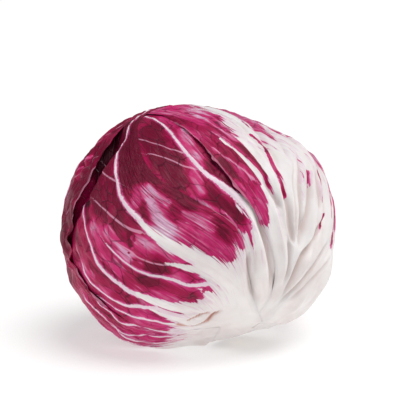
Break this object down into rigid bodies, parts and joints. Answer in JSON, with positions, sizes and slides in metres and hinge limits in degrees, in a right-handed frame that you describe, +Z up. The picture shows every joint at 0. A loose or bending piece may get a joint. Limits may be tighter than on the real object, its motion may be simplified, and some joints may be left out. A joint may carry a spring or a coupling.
{
  "type": "radicchio head",
  "caption": "Round head of red radicchio lying on its side, wrapper leaves with white ribs fanning from a short cut stem.",
  "frame": {"origin": "on the surface the head lies on, under the middle of its whole box", "axes": "+X to the right along the longest side, -Y to the front where the ribs show, +Z up"},
  "size_m": [0.126, 0.118, 0.1081],
  "materials": {
    "leaf": "waxy semi-gloss leaf, burgundy blade and white ribs",
    "heart": "packed inner leaves, semi-gloss",
    "stem": "matt cream stem, browned on the cut face"
  },
  "bodies": {
    "root": {"leaf_back": "leaf", "leaf_left": "leaf", "leaf_right_back": "leaf", "leaf_right": "leaf", "leaf_front": "leaf", "leaf_top": "leaf", "leaf_front_right": "leaf", "leaf_front_middle": "leaf", "leaf_under": "leaf", "heart": "heart", "stem": "stem"}
  },
  "joints": []
}
